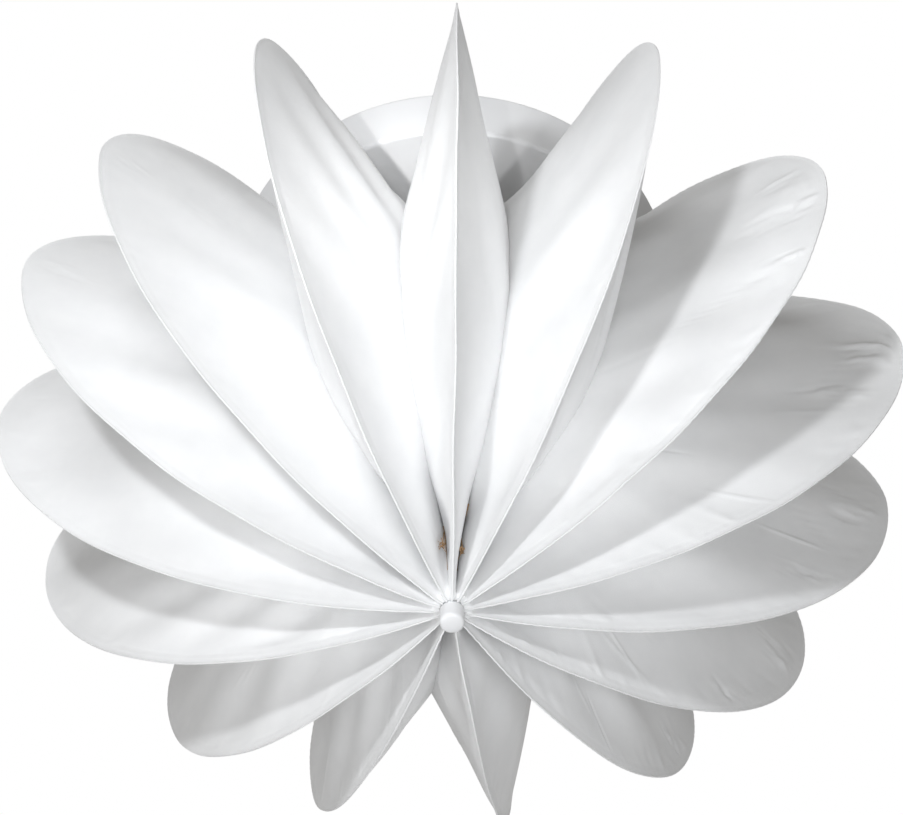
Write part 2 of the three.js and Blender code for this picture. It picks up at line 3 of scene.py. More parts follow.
import bpy
import numpy as np
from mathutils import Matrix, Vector


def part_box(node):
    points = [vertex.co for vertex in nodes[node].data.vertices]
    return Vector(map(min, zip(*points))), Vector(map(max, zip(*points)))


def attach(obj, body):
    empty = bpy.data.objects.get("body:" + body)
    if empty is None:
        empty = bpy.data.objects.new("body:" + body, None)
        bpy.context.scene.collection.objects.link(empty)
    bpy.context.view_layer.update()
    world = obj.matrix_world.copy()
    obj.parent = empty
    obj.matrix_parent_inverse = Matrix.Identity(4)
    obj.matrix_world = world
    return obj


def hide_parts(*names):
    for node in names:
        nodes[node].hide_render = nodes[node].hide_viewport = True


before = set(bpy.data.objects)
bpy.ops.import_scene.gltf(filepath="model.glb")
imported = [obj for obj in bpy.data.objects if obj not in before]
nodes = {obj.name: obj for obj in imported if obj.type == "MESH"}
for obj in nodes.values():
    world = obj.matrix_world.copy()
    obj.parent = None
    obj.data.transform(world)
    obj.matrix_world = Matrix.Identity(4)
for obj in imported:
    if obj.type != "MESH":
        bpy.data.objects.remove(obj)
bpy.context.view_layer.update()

MM = 0.001
FIN_COUNT = 15


# ---------------------------------------------------------------- places taken from the frame

def reach(node):
    """The point of a node that is farthest from the lamp's axis."""
    points = np.array([v.co for v in nodes[node].data.vertices], float)
    return points[np.argmax(np.hypot(points[:, 0], points[:, 1]))]


def fin_name(i):
    return f"fin_{i % FIN_COUNT + 1:02d}"


def rib_name(i):
    return f"rib_{i % FIN_COUNT + 1:02d}"


def angle_of(point):
    """Angle round the lamp, from -Y towards -X."""
    return math.atan2(-point[0], -point[1])


RIB_ANGLES = [angle_of(reach(rib_name(i))) % (2 * math.pi) for i in range(FIN_COUNT)]
SHADE_LOW, SHADE_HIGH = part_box("fin_01")[0].z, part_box("fin_01")[1].z
WIDEST = reach("fin_01")
SHADE_RADIUS, SHADE_WIDEST = math.hypot(WIDEST[0], WIDEST[1]), WIDEST[2]
RING_LOW, RING_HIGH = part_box("top_ring")
RING_REACH = RING_HIGH.x
WIRE_RADIUS = 1.25 * MM
WIRE_INSET = SHADE_HIGH - (RING_LOW.z + RING_HIGH.z) / 2


def place(angle, radius, z, sideways=0.0):
    """A point at an angle round the lamp, moved sideways along the tangent."""
    x = -radius * np.sin(angle) - sideways * np.cos(angle)
    y = -radius * np.cos(angle) + sideways * np.sin(angle)
    return np.stack(np.broadcast_arrays(x, y, z), axis=-1)


# ---------------------------------------------------------------- materials

def new_material(name, colour, roughness, metallic=0.0, **sockets):
    material = bpy.data.materials.new(name)
    material.use_nodes = True
    shader = material.node_tree.nodes["Principled BSDF"]
    shader.inputs["Base Color"].default_value = (*colour, 1)
    shader.inputs["Roughness"].default_value = roughness
    shader.inputs["Metallic"].default_value = metallic
    for socket, value in sockets.items():
        shader.inputs[socket.replace("_", " ")].default_value = value
    return material


def add_node(material, kind, **settings):
    node = material.node_tree.nodes.new(kind)
    for name, value in settings.items():
        setattr(node, name, value)
    return node


def link(material, source, target):
    material.node_tree.links.new(source, target)


def object_pattern(material, scale, detail=3.0, stretch=(1, 1, 1), roughness=0.55):
    """A noise on Object coordinates; scale is in cells to the metre."""
    where = add_node(material, "ShaderNodeTexCoord")
    mapping = add_node(material, "ShaderNodeMapping")
    mapping.inputs["Scale"].default_value = stretch
    noise = add_node(material, "ShaderNodeTexNoise")
    noise.inputs["Scale"].default_value = scale
    noise.inputs["Detail"].default_value = detail
    noise.inputs["Roughness"].default_value = roughness
    link(material, where.outputs["Object"], mapping.inputs["Vector"])
    link(material, mapping.outputs["Vector"], noise.inputs["Vector"])
    return noise.outputs["Fac"]


def tint(material, source, low, high, dark, light):
    """Runs the base colour between two tones by a pattern."""
    node = add_node(material, "ShaderNodeValToRGB")
    node.color_ramp.elements[0].position = low
    node.color_ramp.elements[1].position = high
    node.color_ramp.elements[0].color = (*dark, 1)
    node.color_ramp.elements[1].color = (*light, 1)
    link(material, source, node.inputs["Fac"])
    link(material, node.outputs["Color"], shader_of(material).inputs["Base Color"])


def relief(material, source, strength, distance, below=None):
    """Bumps the surface by a pattern, on top of an earlier bump if one is given."""
    node = add_node(material, "ShaderNodeBump")
    node.inputs["Strength"].default_value = strength
    node.inputs["Distance"].default_value = distance
    link(material, source, node.inputs["Height"])
    if below is not None:
        link(material, below, node.inputs["Normal"])
    link(material, node.outputs["Normal"], shader_of(material).inputs["Normal"])
    return node.outputs["Normal"]


def shader_of(material):
    return material.node_tree.nodes["Principled BSDF"]


def cloth_finish():
    """Spun-bonded sheet: fine swirled fibres pressed flat, in faint clouds of thicker and thinner web."""
    cloth = new_material("spunbonded_cloth", (0.91, 0.912, 0.915), 0.62, Sheen_Weight=0.15)
    clouds = object_pattern(cloth, 55, 4)
    tint(cloth, clouds, 0.3, 0.7, (0.895, 0.897, 0.9), (0.925, 0.926, 0.926))
    where = add_node(cloth, "ShaderNodeTexCoord")
    fibres = add_node(cloth, "ShaderNodeTexWave", wave_type="BANDS", bands_direction="DIAGONAL")
    fibres.inputs["Scale"].default_value = 260
    fibres.inputs["Distortion"].default_value = 22
    fibres.inputs["Detail"].default_value = 3
    fibres.inputs["Detail Scale"].default_value = 1.6
    link(cloth, where.outputs["Object"], fibres.inputs["Vector"])
    fine = relief(cloth, fibres.outputs["Fac"], 0.12, 0.0002)
    relief(cloth, clouds, 0.2, 0.0006, fine)
    return cloth


def enamel_finish():
    """Satin white enamel with a faint orange peel."""
    enamel = new_material("white_enamel", (0.87, 0.875, 0.885), 0.34, Coat_Weight=0.25, Coat_Roughness=0.2)
    patches = object_pattern(enamel, 18, 3)
    tint(enamel, patches, 0.3, 0.7, (0.85, 0.855, 0.865), (0.885, 0.888, 0.895))
    relief(enamel, object_pattern(enamel, 900, 2), 0.08, 0.0002)
    return enamel


def zinc_finish():
    """Zinc plate, brushed by handling."""
    zinc = new_material("zinc_plate", (0.62, 0.63, 0.65), 0.36, 1.0)
    grain = object_pattern(zinc, 350, 4, (1, 1, 0.15))
    rough = add_node(zinc, "ShaderNodeMapRange")
    rough.inputs["To Min"].default_value = 0.26
    rough.inputs["To Max"].default_value = 0.48
    link(zinc, grain, rough.inputs["Value"])
    link(zinc, rough.outputs["Result"], shader_of(zinc).inputs["Roughness"])
    relief(zinc, grain, 0.15, 0.0002)
    return zinc


def coated_wire_finish():
    """Thick white dip coat on the ribs and the top ring."""
    coat = new_material("coated_wire", (0.84, 0.84, 0.83), 0.42)
    relief(coat, object_pattern(coat, 420, 2), 0.2, 0.0003)
    tint(coat, object_pattern(coat, 60, 3), 0.3, 0.75, (0.79, 0.79, 0.77), (0.86, 0.86, 0.85))
    return coat


def porcelain_finish():
    glaze = new_material("porcelain", (0.86, 0.85, 0.81), 0.22, Coat_Weight=0.5, Coat_Roughness=0.08)
    tint(glaze, object_pattern(glaze, 40, 3), 0.3, 0.7, (0.84, 0.83, 0.78), (0.88, 0.87, 0.84))
    relief(glaze, object_pattern(glaze, 160, 2), 0.1, 0.0003)
    return glaze


def brass_finish():
    brass = new_material("cap_brass", (0.72, 0.56, 0.3), 0.28, 1.0)
    tint(brass, object_pattern(brass, 120, 4), 0.3, 0.75, (0.62, 0.46, 0.23), (0.78, 0.62, 0.36))
    return brass


def opal_finish():
    """Opal-coated bulb glass, unlit."""
    opal = new_material("opal_glass", (0.9, 0.88, 0.84), 0.18, Coat_Weight=0.4, Coat_Roughness=0.05)
    tint(opal, object_pattern(opal, 30, 2), 0.3, 0.7, (0.88, 0.86, 0.81), (0.92, 0.9, 0.87))
    return opal


def sleeve_finish():
    """Woven sleeve of the leads."""
    sleeve = new_material("lead_sleeve", (0.78, 0.74, 0.63), 0.55)
    weave = object_pattern(sleeve, 1400, 1)
    relief(sleeve, weave, 0.35, 0.0003)
    tint(sleeve, weave, 0.3, 0.7, (0.72, 0.68, 0.56), (0.82, 0.78, 0.68))
    return sleeve


def twine_finish():
    """Hairy brown jute."""
    twine = new_material("jute_twine", (0.46, 0.29, 0.15), 0.9)
    strands = object_pattern(twine, 1500, 3)
    tint(twine, strands, 0.3, 0.72, (0.32, 0.18, 0.09), (0.64, 0.43, 0.24))
    relief(twine, strands, 0.6, 0.0005)
    return twine


def thread_finish():
    thread = new_material("sewing_thread", (0.83, 0.83, 0.82), 0.7)
    tint(thread, object_pattern(thread, 2500, 2), 0.3, 0.7, (0.76, 0.76, 0.75), (0.88, 0.88, 0.87))
    return thread


CLOTH = cloth_finish()
ENAMEL = enamel_finish()
ZINC = zinc_finish()
COATED_WIRE = coated_wire_finish()
PORCELAIN = porcelain_finish()
BRASS = brass_finish()
OPAL = opal_finish()
SLEEVE = sleeve_finish()
TWINE = twine_finish()
THREAD = thread_finish()


# ---------------------------------------------------------------- making pieces

def deselect():
    if bpy.context.object and bpy.context.object.mode != "OBJECT":
        bpy.ops.object.mode_set(mode="OBJECT")
    bpy.ops.object.select_all(action="DESELECT")


def select_only(piece):
    deselect()
    piece.select_set(True)
    bpy.context.view_layer.objects.active = piece


def cut_away(piece, tool):
    """Takes a tool's shape out of a piece, and the tool away."""
    cut = piece.modifiers.new("cut", "BOOLEAN")
    cut.operation = "DIFFERENCE"
    cut.object = tool
    bpy.context.view_layer.objects.active = piece
    bpy.ops.object.modifier_apply(modifier="cut")
    bpy.data.objects.remove(tool, do_unlink=True)


def finish_piece(piece, material, body, replaced=()):
    piece.data.materials.clear()
    piece.data.materials.append(material)
    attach(piece, body)
    if replaced:
        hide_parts(*replaced)
    return piece


def smooth(piece, degrees=40):
    select_only(piece)
    bpy.ops.object.shade_smooth_by_angle(angle=math.radians(degrees))


def facing_out(piece, merge=False):
    select_only(piece)
    bpy.ops.object.mode_set(mode="EDIT")
    bpy.ops.mesh.select_all(action="SELECT")
    if merge:
        bpy.ops.mesh.remove_doubles(threshold=0.001 * MM)
    bpy.ops.mesh.normals_make_consistent(inside=False)
    bpy.ops.object.mode_set(mode="OBJECT")


def settle(piece, name):
    """Names a piece and moves its place into its mesh."""
    piece.name = name
    piece.data.name = name
    select_only(piece)
    bpy.ops.object.transform_apply(location=True, rotation=True, scale=True)
    return piece


def from_points(name, points, faces):
    mesh = bpy.data.meshes.new(name)
    mesh.from_pydata([tuple(p) for p in points], [], [tuple(f) for f in faces])
    mesh.update()
    piece = bpy.data.objects.new(name, mesh)
    bpy.context.scene.collection.objects.link(piece)
    return piece


def turned(name, outline, centre=(0.0, 0.0), sides=96):
    """A round piece drawn up ring by ring from (radius, height) pairs.

    An outline that starts and ends at the same pair is a ring or a shell; any other has flat ends."""
    deselect()
    radius, height = outline[0]
    closed = outline[0] == outline[-1]
    bpy.ops.mesh.primitive_circle_add(vertices=sides, radius=radius, location=(*centre, height))
    piece = bpy.context.object
    bpy.ops.object.mode_set(mode="EDIT")
    bpy.ops.mesh.select_all(action="SELECT")
    if not closed:
        bpy.ops.mesh.edge_face_add()
    for next_radius, next_height in outline[1:-1] if closed else outline[1:]:
        move = {"value": (0, 0, next_height - height)}
        if closed:
            bpy.ops.mesh.extrude_edges_move(TRANSFORM_OT_translate=move)
        else:
            bpy.ops.mesh.extrude_region_move(TRANSFORM_OT_translate=move)
        share = next_radius / radius
        bpy.ops.transform.resize(value=(share, share, 1), center_override=(*centre, next_height))
        radius, height = next_radius, next_height
    if closed:
        bpy.ops.mesh.select_all(action="DESELECT")
        bpy.ops.mesh.select_non_manifold()
        bpy.ops.mesh.bridge_edge_loops()
    bpy.ops.mesh.select_all(action="SELECT")
    bpy.ops.mesh.normals_make_consistent(inside=False)
    bpy.ops.object.mode_set(mode="OBJECT")
    settle(piece, name)
    smooth(piece)
    return piece


def arc(centre_radius, centre_height, size, start, end, count):
    """(radius, height) pairs along an arc; angles in degrees, 0 outwards and 90 up."""
    angles = np.radians(np.linspace(start, end, count))
    return [(centre_radius + size * math.cos(a), centre_height + size * math.sin(a)) for a in angles]


# ---------------------------------------------------------------- the pleated shade

FIN_INNER_RADIUS = 7.8 * MM
HUB_FOLD = 4 * MM  # how deep the pleats are at the hub
PLEAT_DEPTH = 54 * MM  # how high their floor is over the shade's lowest point
PLEAT_START_RADIUS = 12.2 * MM
HUB_TUCK = 0.9 * MM  # how far the seams lift to pass over the finial
PLEAT_FULL_RADIUS = 28 * MM
FLOOR_CORNER = 1.5 * MM  # how far the pleats' floor rounds as it drops to the hub
SEAM_SPLIT_RADIUS = PLEAT_FULL_RADIUS + 6 * MM
SHOULDER_RADIUS = 170 * MM
VALLEY_RADIUS = 160 * MM
VALLEY_WIDEST = -215 * MM
VALLEY_TOP = -105 * MM
RING_CLEARANCE = 0.9 * MM
SEAM_WIDTH = 1.6 * MM
SEAM_HALF = 0.3 * MM  # half the thickness of the flat seam
POCKET_SLACK = 0.32 * MM  # room for the wire in its pocket
CLOTH_THICKNESS = 0.25 * MM
HEM = 3 * MM
# Of the open valleys, 1 is left of the first fin and -1 is right of it
SLIT_END_RADIUS = {1: 78 * MM, -1: 68 * MM}
SLIT_HALF = {1: 0.4 * MM, -1: 0.9 * MM}
SLIT_RISE = 12 * MM  # the slit widens over this length and narrows over the next
SLIT_FALL = 30 * MM
VALLEY_HALF = 0.12 * MM
STATION_STEP = 2.0 * MM


def along(points, count):
    """The points again, count of them, evenly spaced."""
    points = np.asarray(points, float)
    length = np.concatenate([[0], np.cumsum(np.linalg.norm(np.diff(points, axis=0), axis=1))])
    at = np.linspace(0, length[-1], count)
    return np.stack([np.interp(at, length, points[:, k]) for k in range(2)], axis=1)


def length_of(points):
    return float(np.linalg.norm(np.diff(points, axis=0), axis=1).sum())


def ease(x):
    x = np.clip(x, 0, 1)
    return x * x * (3 - 2 * x)


def bezier(*corners):
    t = np.linspace(0, 1, 200)[:, None]
    points = [np.array(c, float)[None] + 0 * t for c in corners]
    while len(points) > 1:
        points = [a * (1 - t) + b * t for a, b in zip(points, points[1:])]
    return points[0]


def lower_seam(start, end):
    """The seam below the widest part, a quarter ellipse, between two radii."""
    turn = np.linspace(math.acos(start / SHADE_RADIUS), math.acos(min(end / SHADE_RADIUS, 1)), 300)
    drop = SHADE_WIDEST - SHADE_LOW
    radius = SHADE_RADIUS * np.cos(turn)
    tuck = HUB_TUCK * ease((PLEAT_START_RADIUS - radius) / (PLEAT_START_RADIUS - FIN_INNER_RADIUS))
    return np.stack([radius, SHADE_WIDEST - drop * np.sin(turn) + tuck], axis=1)


def fin_outlines():
    """Matching (radius, height) rows for the seam's edge and the valley, from the hub to the top ring."""
    floor, hub = SHADE_LOW + PLEAT_DEPTH, SHADE_LOW + HUB_FOLD
    top_radius = RING_REACH + RING_CLEARANCE
    turn = np.radians(np.linspace(0, 90, 300))
    bend = np.stack([
        SHOULDER_RADIUS + (SHADE_RADIUS - SHOULDER_RADIUS) * np.cos(turn),
        SHADE_WIDEST + (SHADE_HIGH - SHADE_WIDEST) * np.sin(turn)], axis=1)
    seam = [
        lower_seam(FIN_INNER_RADIUS, PLEAT_START_RADIUS),
        lower_seam(PLEAT_START_RADIUS, SEAM_SPLIT_RADIUS),
        lower_seam(SEAM_SPLIT_RADIUS, SHADE_RADIUS),
        np.concatenate([bend, [[top_radius, SHADE_HIGH]]]),
    ]
    valley = [
        np.array([[FIN_INNER_RADIUS, hub], [PLEAT_START_RADIUS, hub]]),
        bezier((PLEAT_START_RADIUS, hub), (PLEAT_START_RADIUS + FLOOR_CORNER, floor),
               (PLEAT_FULL_RADIUS, floor)),
        bezier((PLEAT_FULL_RADIUS, floor), ((PLEAT_FULL_RADIUS + VALLEY_RADIUS) / 2, floor),
               (VALLEY_RADIUS, (3 * floor + VALLEY_WIDEST) / 4), (VALLEY_RADIUS, VALLEY_WIDEST)),
        np.stack([top_radius + (VALLEY_RADIUS - top_radius) * np.cos(turn),
                  VALLEY_WIDEST + (VALLEY_TOP - VALLEY_WIDEST) * np.sin(turn)], axis=1),
    ]
    rows = [[], []]
    for a, b in zip(seam, valley):
        count = max(4, round(max(length_of(a), length_of(b) * 0.7) / STATION_STEP))
        first = 0 if a is seam[0] else 1
        for k, curve in enumerate((a, b)):
            rows[k].append(along(curve, count + 1)[first:])
    return np.concatenate(rows[0]), np.concatenate(rows[1])


SEAM_LINE, VALLEY_LINE = fin_outlines()


def middle_angle(i, step):
    """The angle half way from a fin to the next one, to the left (1) or to the right (-1)."""
    near, far = RIB_ANGLES[i % FIN_COUNT], RIB_ANGLES[(i + step) % FIN_COUNT]
    gap = (step * (far - near)) % (2 * math.pi)
    return near + step * gap / 2


def open_slit(i, step):
    """1 for the open valley left of the first fin, -1 for the right one and 0 for a sewn valley."""
    return {(0, 1): 1, (1, -1): 1, (0, -1): -1, (FIN_COUNT - 1, 1): -1}.get((i, step), 0)


def valley_half_gap(i, step):
    """Half of the gap between two fins' cloth along the valley."""
    half = np.full(len(VALLEY_LINE), VALLEY_HALF)
    slit = open_slit(i, step)
    if slit:
        radius, height = VALLEY_LINE[:, 0], VALLEY_LINE[:, 1]
        rise = ease((radius - FIN_INNER_RADIUS) / SLIT_RISE)
        fall = ease((SLIT_END_RADIUS[slit] - radius) / SLIT_FALL)
        half += (SLIT_HALF[slit] - VALLEY_HALF) * np.where(height < VALLEY_WIDEST, rise * fall, 0)
    return half


# Rows of points across a panel, from the valley to the wire's pocket, closer together near the pocket
PANEL_ROWS = 20
CROWDING = 1.35
PANEL_SHARES = 1 - (1 - np.linspace(0, 1, PANEL_ROWS)) ** CROWDING


def puckers(rng, distance, depth, strength):
    """Small tucks that the stitching draws up, running in from the seam, as a height over the panel."""
    total = np.zeros(np.broadcast_shapes(distance.shape, depth.shape))
    at = 10 * MM
    end = float(distance.max())
    while at < end:
        width = rng.uniform(2.8, 6.0) * MM
        reach_in = rng.uniform(5, 15) * MM * (2.2 if rng.random() < 0.2 else 1)
        size = rng.uniform(0.15, 0.7) * MM * strength * rng.choice([-1, 1])
        slant = rng.uniform(-0.45, 0.45)
        across = (distance - at - slant * depth) / (width * (1 + depth / (40 * MM)))
        fade = ease(depth / (3 * MM)) * np.exp(-(depth / reach_in) ** 1.5)
        total += size * np.exp(-across ** 2) * fade
        at += rng.uniform(8, 30) * MM
    return total


def billow(rng, distance, depth, panel_depth, strength):
    """Slow, slack waves of the whole panel."""
    total = np.zeros(np.broadcast_shapes(distance.shape, depth.shape))
    for _ in range(5):
        wave = rng.uniform(70, 190) * MM
        turn = rng.uniform(-0.9, 0.9)
        phase = rng.uniform(0, 2 * math.pi)
        size = rng.uniform(0.25, 0.9) * MM * strength
        run = distance * math.cos(turn) + depth * math.sin(turn)
        total += size * np.sin(2 * math.pi * run / wave + phase)
    return total * np.sin(math.pi * np.clip(depth / panel_depth, 0, 1)) ** 0.7


def folds(rng, distance, depth, count, strength):
    """A few straight, sharp creases from handling."""
    total = np.zeros(np.broadcast_shapes(distance.shape, depth.shape))
    end, deep = float(distance.max()), float(depth.max())
    for _ in range(count):
        x, y = rng.uniform(0.1, 0.85) * end, rng.uniform(0.1, 0.8) * deep
        turn = rng.uniform(-1.3, 1.3) + math.pi / 2
        half_length = rng.uniform(14, 42) * MM
        width = rng.uniform(2.4, 6) * MM
        size = rng.uniform(0.35, 1.1) * MM * strength * rng.choice([-1, 1])
        run = (distance - x) * math.cos(turn) + (depth - y) * math.sin(turn)
        off = -(distance - x) * math.sin(turn) + (depth - y) * math.cos(turn)
        tent = np.maximum(0, 1 - np.abs(off) / width) ** 1.4
        total += size * tent * ease(1.6 * (1 - np.abs(run) / half_length))
    return total


def crumple(rng, distance, depth, at, across, size, strength):
    """A patch of small crossing creases, where the cloth has been squeezed."""
    total = np.zeros(np.broadcast_shapes(distance.shape, depth.shape))
    for _ in range(11):
        x, y = at + rng.normal(0, 0.45) * size, across + rng.normal(0, 0.45) * size
        turn = rng.uniform(0, math.pi)
        run = (distance - x) * math.cos(turn) + (depth - y) * math.sin(turn)
        off = -(distance - x) * math.sin(turn) + (depth - y) * math.cos(turn)
        off = off + rng.uniform(-1.2, 1.2) * run ** 2 / size
        tent = np.maximum(0, 1 - np.abs(off) / (rng.uniform(0.14, 0.3) * size)) ** 1.3
        half_length = rng.uniform(0.5, 1.1) * size
        height = rng.choice([-1, 1]) * rng.uniform(0.4, 1.0) * strength
        total += height * tent * ease(1.5 * (1 - np.abs(run) / half_length))
    return total


# How much each fin's cloth is drawn up by its stitching and creased by handling
PUCKER = [0.4, 0.5, 0.6, 0.5, 0.6, 0.6, 0.7, 0.9, 0.9, 1.2, 1.4, 1.3, 1.1, 1.2, 0.7]
CREASES = [0, 1, 2, 2, 3, 3, 4, 4, 6, 7, 8, 8, 7, 5, 1]
# Crumpled patches by fin, the first being 0: side, share of the way from the hub, then depth in from the
# seam, size and height in mm
CRUMPLES = {
    2: [(-1, 0.66, 12, 12, 0.4)],
    3: [(-1, 0.66, 16, 16, 0.35)],
    4: [(-1, 0.68, 14, 14, 0.3)],
    7: [(1, 0.5, 22, 16, 0.8)],
    9: [(1, 0.52, 16, 18, 0.9)],
    10: [(1, 0.55, 20, 20, 1.0), (1, 0.4, 12, 16, 0.8)],
    11: [(1, 0.6, 22, 20, 1.2), (1, 0.45, 14, 16, 0.8)],
    12: [(1, 0.64, 18, 22, 1.5), (1, 0.56, 34, 18, 0.9)],
    13: [(1, 0.6, 20, 22, 1.4), (1, 0.52, 12, 16, 1.0), (1, 0.67, 14, 16, 1.0)],
}


HUB_FADE = 25 * MM  # the cloth lies still over this length at the hub
RING_FADE = 20 * MM  # and over this one at the top ring
EDGE_FADE = 9 * MM  # and over this width at the valley and at the wire
PUCKER_INSET = 2 * MM
DRIFT = 0.2 * MM  # slow wandering of the seam
RIPPLE = 0.1 * MM  # and its short waves
RIPPLE_PITCH = 7.3 * MM
RIPPLE_SWAY = 31 * MM


def seam_drift(rng, distance):
    """How far the whole seam wanders sideways along its way."""
    drift = np.zeros(len(distance))
    for _ in range(3):
        wave = rng.uniform(60, 160) * MM
        drift += DRIFT * np.sin(2 * math.pi * distance / wave + rng.uniform(0, 6.28))
    return drift


def panel_height(rng, i, side, distance, from_seam, panel_length):
    """How far one panel of a fin stands off its flat shape, outwards where it is above 0."""
    along_seam = distance[:, None]
    height = puckers(rng, along_seam, from_seam + PUCKER_INSET, PUCKER[i])
    height += billow(rng, along_seam, from_seam, panel_length[:, None], 1.0)
    height += folds(rng, along_seam, from_seam, CREASES[i], 0.5 * PUCKER[i] + 0.2)
    for crumple_side, share, across, size, strength in CRUMPLES.get(i, ()):
        if crumple_side == side:
            height += crumple(rng, along_seam, from_seam, share * distance[-1], across * MM,
                              size * MM, strength * MM)
    return height


def fin_points(i):
    """A grid of points over both panels of a fin, from the left hem over the seam to the right hem."""
    rng = np.random.default_rng(100 + i)
    angle = RIB_ANGLES[i]
    seam = place(angle, SEAM_LINE[:, 0], SEAM_LINE[:, 1])
    sideways = place(angle, 0.0, 0.0, 1.0)
    sides = (-1, 1)
    fold = [place(middle_angle(i, s), VALLEY_LINE[:, 0], VALLEY_LINE[:, 1], -s * valley_half_gap(i, s))
            for s in sides]
    middle = (fold[0] + fold[1]) / 2
    out = seam - middle
    depth = np.linalg.norm(out, axis=1)
    out /= depth[:, None]
    distance = np.concatenate([[0], np.cumsum(np.linalg.norm(np.diff(seam, axis=0), axis=1))])
    spread = np.minimum(*[np.abs((f - middle) @ sideways) for f in fold])
    seam_width = np.minimum(SEAM_WIDTH, 0.42 * depth)
    pocket_half = np.minimum(WIRE_RADIUS + POCKET_SLACK, 0.8 * spread)
    pocket_depth = np.minimum(WIRE_INSET, 0.75 * depth)
    seam_half = np.minimum(SEAM_HALF, 0.4 * spread)
    ends = ease(distance / HUB_FADE) * ease((distance[-1] - distance) / RING_FADE)
    drift = seam_drift(rng, distance) * ends
    ripple = RIPPLE * PUCKER[i] * np.sin(
        2 * math.pi * distance / RIPPLE_PITCH + 2 * np.sin(distance / RIPPLE_SWAY))
    halves = []
    for k, side in enumerate(sides):
        panel_end = seam - out * pocket_depth[:, None] + sideways * (side * pocket_half)[:, None]
        run = panel_end - fold[k]
        panel_length = np.linalg.norm(run, axis=1)
        normal = np.cross(run / panel_length[:, None], np.gradient(seam, axis=0))
        normal /= np.linalg.norm(normal, axis=1)[:, None]
        normal *= np.sign(normal @ sideways * side)[:, None]
        from_seam = (1 - PANEL_SHARES)[None, :] * panel_length[:, None]
        height = panel_height(rng, i, side, distance, from_seam, panel_length)
        fade = ends[:, None] * ease(PANEL_SHARES[None, :] * panel_length[:, None] / EDGE_FADE)
        near_wire = ease(from_seam / EDGE_FADE)
        height = np.where(height < 0, height * near_wire, height) * fade
        panel = fold[k][:, None] + run[:, None] * PANEL_SHARES[None, :, None]
        panel = panel + normal[:, None] * height[..., None] + (sideways * drift[:, None])[:, None]
        hem = fold[k] - out * np.minimum(HEM, 0.5 * depth)[:, None]
        shaped = [hem, *[panel[:, j] for j in range(PANEL_ROWS)]]
        # the pocket narrows from the wire to the flat seam
        for share, half in ((0.3, 0.84), (0.65, 0.42), (1.0, 0.0)):
            down = pocket_depth + (seam_width - pocket_depth) * share
            wide = seam_half + (pocket_half - seam_half) * half
            swing = side * wide + drift + 0.3 * ripple
            shaped.append(seam - out * down[:, None] + sideways * swing[:, None])
        # the flat seam, to its edge
        for share in (0.5, 0.0):
            down = seam_width * share
            swing = side * seam_half + drift + ripple * (1 - share)
            shaped.append(seam - out * down[:, None] + sideways * swing[:, None])
        halves.append(shaped)
    rows = halves[0] + halves[1][::-1]
    return np.stack(rows, axis=1), distance


def grid_faces(rows, columns):
    faces = []
    for r in range(rows - 1):
        for c in range(columns - 1):
            a = r * columns + c
            faces.append((a, a + 1, a + columns + 1, a + columns))
    return faces


def make_fin(i):
    """A fin's cloth, with both panels in one sheet, and the stitches along its seam."""
    points, distance = fin_points(i)
    rows, columns = points.shape[:2]
    piece = from_points(f"shade_fin_{i + 1:02d}", points.reshape(-1, 3), grid_faces(rows, columns))
    facing_out(piece)
    outward = Vector(place(RIB_ANGLES[i], 1.0, 0.0))
    crown = Vector(points[rows // 2, columns // 2])
    top = min(piece.data.polygons, key=lambda f: (f.center - crown).length)
    if top.normal.dot(outward) < 0:
        piece.data.flip_normals()
    solid = piece.modifiers.new("thickness", "SOLIDIFY")
    solid.thickness = CLOTH_THICKNESS
    solid.offset = -1
    bpy.ops.object.modifier_apply(modifier="thickness")
    smooth(piece, 50)
    finish_piece(piece, CLOTH, "shade", [fin_name(i)])
    make_stitches(i, points, distance)


# ---------------------------------------------------------------- stitches along the seams

STITCH_PITCH = 3.1 * MM
STITCH_LENGTH = 2.3 * MM
STITCH_HALF = 0.2 * MM  # half a stitch's thickness, before the fin's pucker scales it
STITCH_RAISE = 0.12 * MM  # how far its middle stands off the cloth
FIRST_STITCH = 12 * MM  # from the seam's end at the hub
LAST_STITCH = 8 * MM  # from its end at the top ring
STITCH_COLUMNS = {-1: (23, 24), 1: (28, 27)}  # the columns of fin_points on each side of the row


def make_stitches(i, points, distance):
    """A row of thread on both faces of a fin's flat seam, each stitch a short pointed bar."""
    rng = np.random.default_rng(500 + i)
    sideways = place(RIB_ANGLES[i], 0.0, 0.0, 1.0)
    verts, faces = [], []
    thick = STITCH_HALF * (0.5 + 0.6 * PUCKER[i])
    at = FIRST_STITCH
    while at < distance[-1] - LAST_STITCH:
        for side, (inner, outer) in STITCH_COLUMNS.items():
            line = 0.55 * points[:, inner] + 0.45 * points[:, outer]
            half = STITCH_LENGTH / 2 * rng.uniform(0.85, 1.05)
            ends = [np.array([np.interp(at + t, distance, line[:, k]) for k in range(3)])
                    for t in (-half, half)]
            run = ends[1] - ends[0]
            raise_by = sideways * (side * STITCH_RAISE)
            across = np.cross(run / np.linalg.norm(run), sideways)
            start = len(verts)
            verts.append(ends[0])
            for share in (0.25, 0.75):
                middle = ends[0] + run * share + raise_by
                for turn in range(4):
                    a = math.pi / 2 * turn
                    verts.append(middle + thick * (across * math.cos(a) + sideways * math.sin(a)))
            verts.append(ends[1])
            for turn in range(4):
                a, b = start + 1 + turn, start + 1 + (turn + 1) % 4
                faces += [(start, b, a), (a, b, b + 4, a + 4), (start + 9, a + 4, b + 4)]
        at += STITCH_PITCH * rng.uniform(0.94, 1.06)
    thread = from_points(f"seam_thread_{i + 1:02d}", verts, faces)
    facing_out(thread)
    smooth(thread, 80)
    finish_piece(thread, THREAD, "shade")


